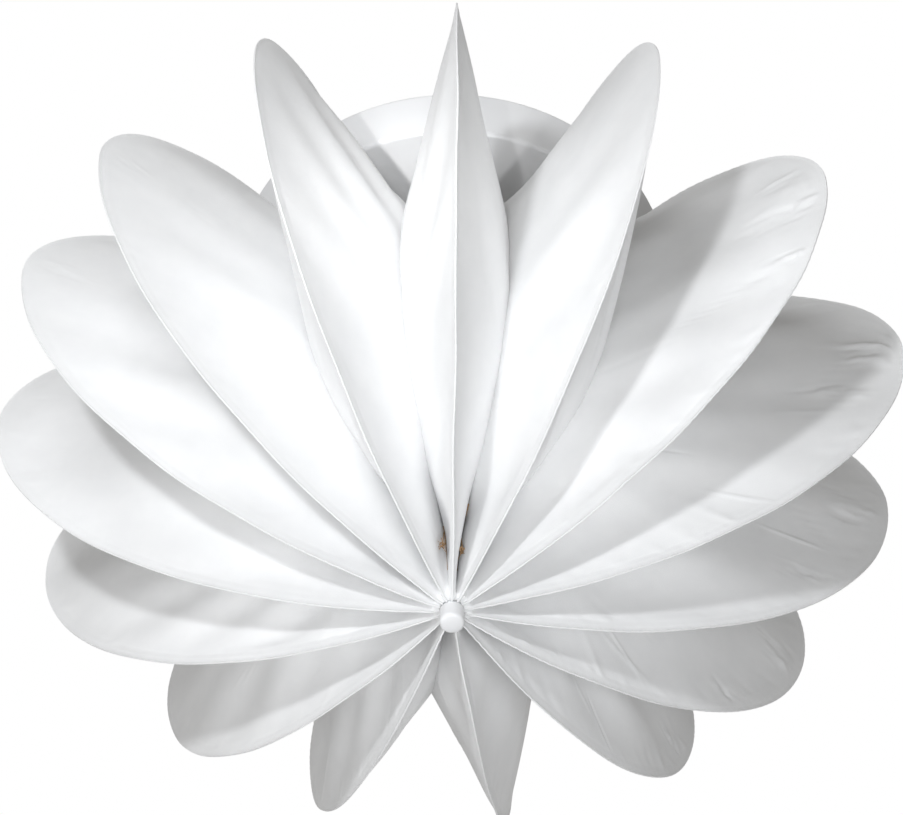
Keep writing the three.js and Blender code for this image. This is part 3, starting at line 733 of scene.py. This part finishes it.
# ---------------------------------------------------------------- wires, leads and twine

def strand(name, points, radius, sides=10):
    """A round strand through points, with closed ends."""
    curve = bpy.data.curves.new(name, "CURVE")
    curve.dimensions = "3D"
    curve.bevel_depth = radius
    curve.bevel_resolution = max(0, sides // 4 - 1)
    curve.use_fill_caps = True
    curve.twist_mode = "MINIMUM"
    spline = curve.splines.new("POLY")
    spline.points.add(len(points) - 1)
    for knot, point in zip(spline.points, points):
        knot.co = (*point, 1)
    strand_object = bpy.data.objects.new(name, curve)
    bpy.context.scene.collection.objects.link(strand_object)
    select_only(strand_object)
    bpy.ops.object.convert(target="MESH")
    facing_out(strand_object, merge=True)
    smooth(strand_object, 60)
    return strand_object


def joined(name, pieces):
    deselect()
    for piece in pieces:
        piece.select_set(True)
    bpy.context.view_layer.objects.active = pieces[0]
    bpy.ops.object.join()
    whole = bpy.context.object
    whole.name = name
    whole.data.name = name
    return whole


def smooth_path(points, per_span=8):
    """A curve through points, by Catmull and Rom's rule."""
    points = np.asarray(points, float)
    padded = np.concatenate([[2 * points[0] - points[1]], points, [2 * points[-1] - points[-2]]])
    path = []
    for a, b, c, d in zip(padded, padded[1:], padded[2:], padded[3:]):
        for t in np.arange(per_span) / per_span:
            path.append(0.5 * (2 * b + (c - a) * t + (2 * a - 5 * b + 4 * c - d) * t ** 2
                               + (3 * b - a - 3 * c + d) * t ** 3))
    path.append(points[-1])
    return np.array(path)


def make_rib(i):
    """The bowed wire that lies in a fin's pocket, from the hub's flange to the top ring."""
    run = np.gradient(SEAM_LINE, axis=0)
    run /= np.linalg.norm(run, axis=1)[:, None]
    radius = SEAM_LINE[:, 0] - run[:, 1] * WIRE_INSET
    height = SEAM_LINE[:, 1] + run[:, 0] * WIRE_INSET
    lowest = np.where(np.arange(len(radius)) < len(radius) // 2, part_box("lower_hub")[1].x, RING_REACH)
    keep = radius > lowest + 0.3 * MM
    path = place(RIB_ANGLES[i], radius[keep], height[keep])[::3]
    rib = strand(f"rib_wire_{i + 1:02d}", path, WIRE_RADIUS, 12)
    finish_piece(rib, COATED_WIRE, "shade", [rib_name(i)])


TWINE_RADIUS = {"left": 0.34 * MM, "right": 0.6 * MM}
LACING_START_RADIUS = 13.5 * MM
LACING_END_RADIUS = {"left": 30 * MM, "right": 46 * MM}
LACING_SWING = 0.3 * MM
LACING_SINK = 0.6 * MM
SLIT_SIDES = {"left": 1, "right": -1}
KNOT_SIZE = 0.8 * MM
KNOT_DROP = {"left": 0, "right": 5 * MM}  # how far the knot hangs under its tie
TAIL_RADIUS = 24 * MM
FRAYED_ENDS = {"left": 9, "right": 16}


def make_twine(side, step):
    """The lacing inside one open valley, its knot over the slit, and the knot's frayed ends."""
    rng = np.random.default_rng(40 + step)
    angle = middle_angle(0, step)
    thick = TWINE_RADIUS[side]
    radius, height = VALLEY_LINE.T
    laced = (radius > LACING_START_RADIUS) & (radius < LACING_END_RADIUS[side]) & (height < VALLEY_WIDEST)
    radius, height = radius[laced][::2], height[laced][::2]
    swing = LACING_SWING * np.sin(np.arange(len(radius)) * 0.9)
    lacing = smooth_path(place(angle, radius, height - LACING_SINK, swing), 4)
    pieces = [strand("lacing", lacing, thick, 8)]
    # the knot: a trefoil of the same twine
    centre = np.array(centre_of(f"twine_tie_{side}")) - (0, 0, KNOT_DROP[side])
    outward, up = place(angle, 1.0, 0.0), np.array([0, 0, 1.0])
    across = place(angle, 0.0, 0.0, 1.0)
    turn = np.linspace(0, 2 * math.pi, 60)
    loop = np.stack([np.sin(turn) + 2 * np.sin(2 * turn), np.cos(turn) - 2 * np.cos(2 * turn),
                     -np.sin(3 * turn)], 1)
    knot = centre + KNOT_SIZE * (
        0.75 * loop[:, :1] * across + loop[:, 1:2] * outward + 0.8 * loop[:, 2:] * up)
    pieces.append(strand("knot", knot, thick, 8))
    # the tail that ties the knot to the lacing
    floor = np.array(place(angle, TAIL_RADIUS, SHADE_LOW + PLEAT_DEPTH - 1 * MM))
    slack = (floor + centre) / 2 + 0.6 * MM * outward
    pieces.append(strand("tail", smooth_path([floor, slack, centre], 5), thick, 8))
    # frayed ends
    for _ in range(FRAYED_ENDS[side]):
        length = rng.uniform(2.6, 6.0) * MM
        heading = (across * step * rng.uniform(-0.5, 1.2) + outward * rng.uniform(-0.8, 1.3)
                   - up * rng.uniform(0.2, 1.0))
        heading /= np.linalg.norm(heading)
        bend = rng.normal(0, 0.5, 3)
        t = np.linspace(0, 1, 6)[:, None]
        hair = centre + rng.normal(0, 0.5 * MM, 3) + length * (heading * t + bend * t ** 2 * 0.5)
        pieces.append(strand("hair", hair, rng.uniform(0.1, 0.2) * MM, 4))
    finish_piece(joined(f"twine_lacing_{side}", pieces), TWINE, "shade", [f"twine_tie_{side}"])


# ---------------------------------------------------------------- turned and pressed pieces

PAN_SHEET = 1.2 * MM
PAN_RIM = 3 * MM
PAN_EDGE = 4 * MM
PAN_FACE_RADIUS = 135 * MM
LEAD_HOLE_RADIUS = 5 * MM
SCREW_HOLE_RADIUS = 2.1 * MM
RUNNING_GAP = 0.3 * MM


def centre_of(node):
    low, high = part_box(node)
    return (low + high) / 2


def bored(piece, holes):
    """Cuts round holes: (place, radius, length, direction)."""
    for at, radius, length, direction in holes:
        deselect()
        turn = Vector(direction).to_track_quat("Z", "Y").to_euler()
        bpy.ops.mesh.primitive_cylinder_add(vertices=32, radius=radius, depth=length,
                                            location=at, rotation=turn)
        cut_away(piece, bpy.context.object)
    smooth(piece, 35)
    return piece


def make_pan():
    """The stepped pan, one sheet from its rim over its wall to its face, with its holes."""
    low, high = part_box("ceiling_pan")
    radius, face = high.x, low.z
    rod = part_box("threaded_rod")[1].x + RUNNING_GAP
    wall = face + PAN_EDGE
    outside = arc(PAN_FACE_RADIUS, wall, PAN_EDGE, 0, -90, 12)
    inside = arc(PAN_FACE_RADIUS, wall, PAN_EDGE - PAN_SHEET, -90, 0, 10)
    outline = [
        (radius - PAN_SHEET, -0.3 * MM), (radius - 0.9 * MM, 0), (radius - 0.3 * MM, 0),
        (radius, -0.3 * MM), (radius, -PAN_RIM), *outside, (rod, face), (rod, face + PAN_SHEET), *inside,
        (radius - PAN_SHEET, -PAN_RIM), (radius - PAN_SHEET, -0.3 * MM)]
    pan = turned("pan_shell", outline, sides=160)
    holes = []
    for number in (1, 2, 3):
        lamp = centre_of(f"lampholder_{number}")
        holes.append(((lamp.x, lamp.y, face), LEAD_HOLE_RADIUS, 8 * MM, (0, 0, 1)))
    for number in (1, 2):
        screw = centre_of(f"pan_screw_{number}")
        holes.append((screw, SCREW_HOLE_RADIUS, 30 * MM, (screw.x, screw.y, 0)))
    bored(pan, holes)
    finish_piece(pan, ENAMEL, "fixture", ["ceiling_pan"])


def make_finial():
    low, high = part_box("finial")
    radius = high.x
    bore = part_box("threaded_rod")[1].x + RUNNING_GAP
    edge = 2.4 * MM
    outline = [
        (bore, high.z - 7 * MM), (bore, high.z - 0.3 * MM), (bore + 0.3 * MM, high.z),
        (radius - 0.4 * MM, high.z), (radius, high.z - 0.4 * MM), (radius, low.z + edge + 0.9 * MM),
        *arc(radius - edge, low.z + edge + 0.5 * MM, edge, 0, -75, 9),
        (radius * 0.5, low.z + 0.12 * MM), (radius * 0.2, low.z)]
    finish_piece(turned("cap_nut", outline, sides=64), ENAMEL, "finial", ["finial"])


def make_washer_and_hub():
    low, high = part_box("shade_washer")
    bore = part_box("threaded_rod")[1].x + RUNNING_GAP
    soft = 0.25 * MM
    ring = [(bore, low.z + soft), (bore + soft, low.z), (high.x - soft, low.z), (high.x, low.z + soft),
            (high.x, high.z - soft), (high.x - soft, high.z), (bore + soft, high.z), (bore, high.z - soft)]
    washer = turned("plain_washer", ring + ring[:1], sides=64)
    finish_piece(washer, ZINC, "washer", ["shade_washer"])
    low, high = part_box("lower_hub")
    flange = high.z - 5 * MM
    boss = 8.2 * MM
    ring = [(bore, low.z), (boss - soft, low.z), (boss, low.z + soft), (boss, flange - 0.4 * MM),
            (boss + 0.4 * MM, flange), (high.x - soft, flange), (high.x, flange + soft),
            (high.x, high.z - soft), (high.x - soft, high.z), (bore, high.z)]
    hub = turned("rib_hub", ring + ring[:1], sides=64)
    finish_piece(hub, COATED_WIRE, "shade", ["lower_hub"])


def make_top_ring():
    middle = (RING_LOW.z + RING_HIGH.z) / 2
    thick = (RING_HIGH.z - RING_LOW.z) / 2
    deselect()
    bpy.ops.mesh.primitive_torus_add(major_radius=RING_REACH - thick, minor_radius=thick,
                                     major_segments=144, minor_segments=14, location=(0, 0, middle))
    ring = settle(bpy.context.object, "wire_ring")
    smooth(ring, 80)
    finish_piece(ring, COATED_WIRE, "shade", ["top_ring"])


THREAD_PITCH = 1.25 * MM
THREAD_DEPTH = 0.45 * MM


def make_rod():
    """The threaded rod, its thread drawn as a stack of grooves."""
    low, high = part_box("threaded_rod")
    crest = high.x
    root = crest - THREAD_DEPTH
    turns = int((high.z - low.z) / THREAD_PITCH) - 1
    start = low.z + ((high.z - low.z) - turns * THREAD_PITCH) / 2
    deselect()
    bpy.ops.mesh.primitive_circle_add(vertices=24, radius=root, location=(0, 0, start))
    rod = bpy.context.object
    bpy.ops.object.mode_set(mode="EDIT")
    bpy.ops.mesh.select_all(action="SELECT")
    radius = root
    for rise, next_radius in ((0.4, crest), (0.2, crest), (0.4, root)):
        height = rise * THREAD_PITCH
        bpy.ops.mesh.extrude_edges_move(TRANSFORM_OT_translate={"value": (0, 0, height)})
        share = next_radius / radius
        bpy.ops.transform.resize(value=(share, share, 1), center_override=(0, 0, 0))
        radius = next_radius
    bpy.ops.object.mode_set(mode="OBJECT")
    stack = rod.modifiers.new("turns", "ARRAY")
    stack.count = turns
    stack.use_relative_offset = False
    stack.use_constant_offset = True
    stack.constant_offset_displace = (0, 0, THREAD_PITCH)
    stack.use_merge_vertices = True
    stack.merge_threshold = 0.02 * MM
    bpy.ops.object.modifier_apply(modifier="turns")
    bpy.ops.object.mode_set(mode="EDIT")
    bpy.ops.mesh.select_all(action="DESELECT")
    bpy.ops.mesh.select_non_manifold()
    bpy.ops.mesh.fill_holes(sides=0)
    bpy.ops.object.mode_set(mode="OBJECT")
    settle(rod, "stud_thread")
    facing_out(rod)
    smooth(rod, 30)
    finish_piece(rod, ZINC, "fixture", ["threaded_rod"])


def make_nut(node):
    low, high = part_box(node)
    corner = high.x
    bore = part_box("threaded_rod")[1].x + RUNNING_GAP
    deselect()
    bpy.ops.mesh.primitive_cylinder_add(vertices=6, radius=corner, depth=high.z - low.z,
                                        location=(0, 0, (low.z + high.z) / 2), rotation=(0, 0, math.pi / 6))
    nut = settle(bpy.context.object, f"{node}_hexagon")
    soft = nut.modifiers.new("edges", "BEVEL")
    soft.width = 0.4 * MM
    soft.segments = 2
    soft.limit_method = "ANGLE"
    bpy.ops.object.modifier_apply(modifier="edges")
    bored(nut, [((0, 0, (low.z + high.z) / 2), bore, 3 * (high.z - low.z), (0, 0, 1))])
    finish_piece(nut, ZINC, "fixture", [node])


def make_lampholder(number):
    node = f"lampholder_{number}"
    low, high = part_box(node)
    middle = centre_of(node)
    radius = high.x - middle.x
    bore = 13.6 * MM
    ceiling = high.z - 9 * MM
    lip = 0.8 * MM
    groove = low.z + 12 * MM
    waist = radius - 0.9 * MM
    outline = [
        (bore, ceiling), (bore, low.z + lip),
        *arc((bore + radius) / 2, low.z + lip, (radius - bore) / 2, 180, 360, 9),
        (radius, groove), (waist, groove + 1.2 * MM), (waist, groove + 3 * MM),
        (radius, groove + 4.2 * MM), (radius, ceiling),
        *arc(radius - 4 * MM, high.z - 5 * MM, 4 * MM, 12, 78, 6), (radius - 5 * MM, high.z)]
    low_rim = low.z - min(z for _, z in outline)
    outline = [(r, z + low_rim if z < groove - 5 * MM else z) for r, z in outline]
    holder = turned(f"porcelain_holder_{number}", outline, (middle.x, middle.y), 64)
    finish_piece(holder, PORCELAIN, "fixture", [node])


CAP_TURNS = 5
SHOULDER_ANGLE = 40  # where the ball of a bulb meets its neck, in degrees above its middle


def make_bulb_cap(number):
    """The cap, its thread drawn as waves."""
    node = f"bulb_cap_{number}"
    low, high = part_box(node)
    middle = centre_of(node)
    radius = high.x - middle.x
    outline = [(radius - 0.3 * MM, low.z)]
    thread = np.linspace(0, CAP_TURNS * 2 * math.pi, 41)
    for turn in thread:
        outline.append((radius - 0.55 * MM + 0.5 * MM * math.cos(turn),
                        low.z + 2 * MM + (high.z - low.z - 7 * MM) * turn / thread[-1]))
    outline += [(radius - 1.4 * MM, high.z - 4 * MM), (6.5 * MM, high.z - 1 * MM),
                (4.5 * MM, high.z - 0.9 * MM), (4.2 * MM, high.z - 0.2 * MM), (2 * MM, high.z)]
    cap = turned(f"screw_cap_{number}", outline, (middle.x, middle.y), 48)
    finish_piece(cap, BRASS, f"bulb_{number}", [node])


def make_bulb_glass(number):
    """The opal ball, its neck running down into the cap."""
    node = f"bulb_glass_{number}"
    low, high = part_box(node)
    middle = centre_of(f"bulb_cap_{number}")
    ball = high.x - middle.x
    centre = low.z + ball
    neck = 12 * MM
    shoulder = arc(0, centre, ball, SHOULDER_ANGLE, -84, 30)
    start = np.array(shoulder[0])
    lean = math.radians(SHOULDER_ANGLE)
    above = start + np.array([-math.sin(lean), math.cos(lean)]) * 9 * MM
    flare = bezier((neck + 0.8 * MM, high.z - 7 * MM), (neck + 2.4 * MM, high.z - 15 * MM),
                   tuple(above), tuple(start))[:-1:18]
    outline = [(neck - 0.6 * MM, high.z), (neck, high.z - 0.6 * MM), *map(tuple, flare), *shoulder,
               (0.3 * MM, low.z)]
    glass = turned(f"opal_bulb_{number}", outline, (middle.x, middle.y), 64)
    finish_piece(glass, OPAL, f"bulb_{number}", [node])


def make_pan_screw(number):
    """A raised-head screw with a cross recess, lying along the bar."""
    node = f"pan_screw_{number}"
    middle = centre_of(node)
    outward = Vector((middle.x, middle.y, 0)).normalized()
    points = np.array([v.co for v in nodes[node].data.vertices], float)
    along_axis = points @ np.array(outward)
    tip, crown = float(along_axis.min()), float(along_axis.max())
    head, shank, thick = 3.6 * MM, 1.8 * MM, 2.6 * MM
    seat = crown - thick
    edge = seat + 0.9 * MM
    outline = [(shank * 0.6, tip), (shank, tip + 0.8 * MM), (shank, seat), (head, seat), (head, edge),
               *arc(0, edge, head, 20, 70, 5)]
    # the dome stays under the crown, a little lower from each ring to the one outside it
    outline = [(r, min(z, crown - 0.02 * MM * k)) for k, (r, z) in zip(range(len(outline), 0, -1), outline)]
    screw = turned(f"slotted_screw_{number}", outline, sides=32)
    for turn in (0, math.pi / 2):
        deselect()
        bpy.ops.mesh.primitive_cube_add(size=1, location=(0, 0, crown), rotation=(0, 0, turn))
        blade = bpy.context.object
        blade.scale = (head * 1.1, 0.8 * MM, 1.9 * MM)
        cut_away(screw, blade)
    screw.rotation_mode = "QUATERNION"
    screw.rotation_quaternion = outward.to_track_quat("Z", "Y")
    screw.location = (0, 0, middle.z)
    settle(screw, f"slotted_screw_{number}")
    smooth(screw, 35)
    finish_piece(screw, ENAMEL, "fixture", [node])


# ---------------------------------------------------------------- making them all

for index in range(FIN_COUNT):
    make_fin(index)
    make_rib(index)
for slit, direction in SLIT_SIDES.items():
    make_twine(slit, direction)
make_pan()
make_finial()
make_washer_and_hub()
make_top_ring()
make_rod()
for nut_node in ("weld_nut", "pan_nut"):
    make_nut(nut_node)
for lamp_number in (1, 2, 3):
    make_lampholder(lamp_number)
    make_bulb_cap(lamp_number)
    make_bulb_glass(lamp_number)
for screw_number in (1, 2):
    make_pan_screw(screw_number)

# The nodes that keep their CAD shape
FINISH_OF_NODE = {"mounting_bar": ZINC, "terminal_block": PORCELAIN}
for lamp_number in (1, 2, 3):
    FINISH_OF_NODE[f"lamp_lead_{lamp_number}"] = SLEEVE
for node_name, finish in FINISH_OF_NODE.items():
    nodes[node_name].data.materials.clear()
    nodes[node_name].data.materials.append(finish)


# ---------------------------------------------------------------- floor, light and camera

FLOOR_DROP = 2.9
FLOOR_SIZE = 40


def make_floor():
    """A wide grey floor, which sends some light back up."""
    deselect()
    bpy.ops.mesh.primitive_plane_add(size=FLOOR_SIZE, location=(0, 0, -FLOOR_DROP))
    floor = settle(bpy.context.object, "studio_floor")
    floor.data.materials.append(new_material("studio_floor", (0.55, 0.55, 0.55), 0.8))


FILL_COLOUR = (1, 0.975, 0.93, 1)
FILL_STRENGTH = 0.24


def make_world():
    """White to the eye, and a dimmer even light on the lamp."""
    world = bpy.data.worlds.new("studio")
    bpy.context.scene.world = world
    world.use_nodes = True
    tree = world.node_tree
    tree.nodes.clear()
    seen = tree.nodes.new("ShaderNodeBackground")
    seen.inputs["Color"].default_value = (1, 1, 1, 1)
    seen.inputs["Strength"].default_value = 1.0
    fill = tree.nodes.new("ShaderNodeBackground")
    fill.inputs["Color"].default_value = FILL_COLOUR
    fill.inputs["Strength"].default_value = FILL_STRENGTH
    path = tree.nodes.new("ShaderNodeLightPath")
    mix = tree.nodes.new("ShaderNodeMixShader")
    out = tree.nodes.new("ShaderNodeOutputWorld")
    tree.links.new(path.outputs["Is Camera Ray"], mix.inputs["Fac"])
    tree.links.new(fill.outputs["Background"], mix.inputs[1])
    tree.links.new(seen.outputs["Background"], mix.inputs[2])
    tree.links.new(mix.outputs["Shader"], out.inputs["Surface"])


LIT_POINT = Vector((0, 0, -0.22))
LIGHT_DISTANCE = 2.6
COOL = (0.955, 0.975, 1)
WIDE = 1.2
NARROW = 0.22


def area_light(name, around, below, power, size, colour=(1, 1, 1)):
    """A round soft light; degrees round from -Y towards -X, degrees below the lamp, watts and metres."""
    turn, drop = math.radians(around), math.radians(below)
    across = LIGHT_DISTANCE * math.cos(drop)
    height = -LIGHT_DISTANCE * math.sin(drop)
    at = LIT_POINT + Vector((-across * math.sin(turn), -across * math.cos(turn), height))
    data = bpy.data.lights.new(name, "AREA")
    data.energy = power
    data.shape = "DISK"
    data.size = size
    data.color = colour
    light = bpy.data.objects.new(name, data)
    light.location = at
    light.rotation_euler = (LIT_POINT - at).to_track_quat("-Z", "Y").to_euler()
    bpy.context.scene.collection.objects.link(light)


PAN_LIT_RADIUS = 118 * MM
PAN_LIGHT_BELOW = math.radians(62)
PAN_LIGHT_BEAM = math.radians(2.6)


def pan_light(name, around, power):
    """A narrow lamp that shines up between two fins onto the pan's face."""
    turn = math.radians(around)
    lit = Vector(place(turn, PAN_LIT_RADIUS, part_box("ceiling_pan")[0].z))
    away = Vector(place(turn, math.cos(PAN_LIGHT_BELOW), -math.sin(PAN_LIGHT_BELOW)))
    data = bpy.data.lights.new(name, "SPOT")
    data.energy = power
    data.spot_size = PAN_LIGHT_BEAM
    data.spot_blend = 0.6
    data.shadow_soft_size = 0.05
    light = bpy.data.objects.new(name, data)
    light.location = lit + away * LIGHT_DISTANCE
    light.rotation_euler = (-away).to_track_quat("-Z", "Y").to_euler()
    bpy.context.scene.collection.objects.link(light)


CAMERA_PLACE = (-0.0327, -1.5838, -2.5415)
CAMERA_HEADING = Vector((0.0113, 0.5531, 0.8331))
LENS = 172.0  # in mm, on a 36 mm sensor


def make_camera():
    data = bpy.data.cameras.new("camera")
    data.sensor_width = 36
    data.lens = LENS
    data.clip_end = 100
    camera = bpy.data.objects.new("camera", data)
    camera.location = CAMERA_PLACE
    camera.rotation_euler = CAMERA_HEADING.to_track_quat("-Z", "Y").to_euler()
    bpy.context.scene.collection.objects.link(camera)
    bpy.context.scene.camera = camera


make_floor()
make_world()
area_light("key", 22, 27, 22, NARROW, COOL)
area_light("right_low", -40, 60, 19, WIDE, COOL)
area_light("front_low", 0, 60, 12.5, WIDE, COOL)
area_light("left_low", 100, 60, 15, WIDE)
area_light("left_side", 100, 20, 6.5, WIDE, COOL)
area_light("high_front", 20, -20, 15, WIDE, COOL)
area_light("high_left", 90, -20, 3, WIDE)
area_light("back", 200, -25, 9, WIDE)
pan_light("pan_left", 12, 170)
pan_light("pan_right", -12, 50)
make_camera()
bpy.context.scene.view_settings.view_transform = "Standard"
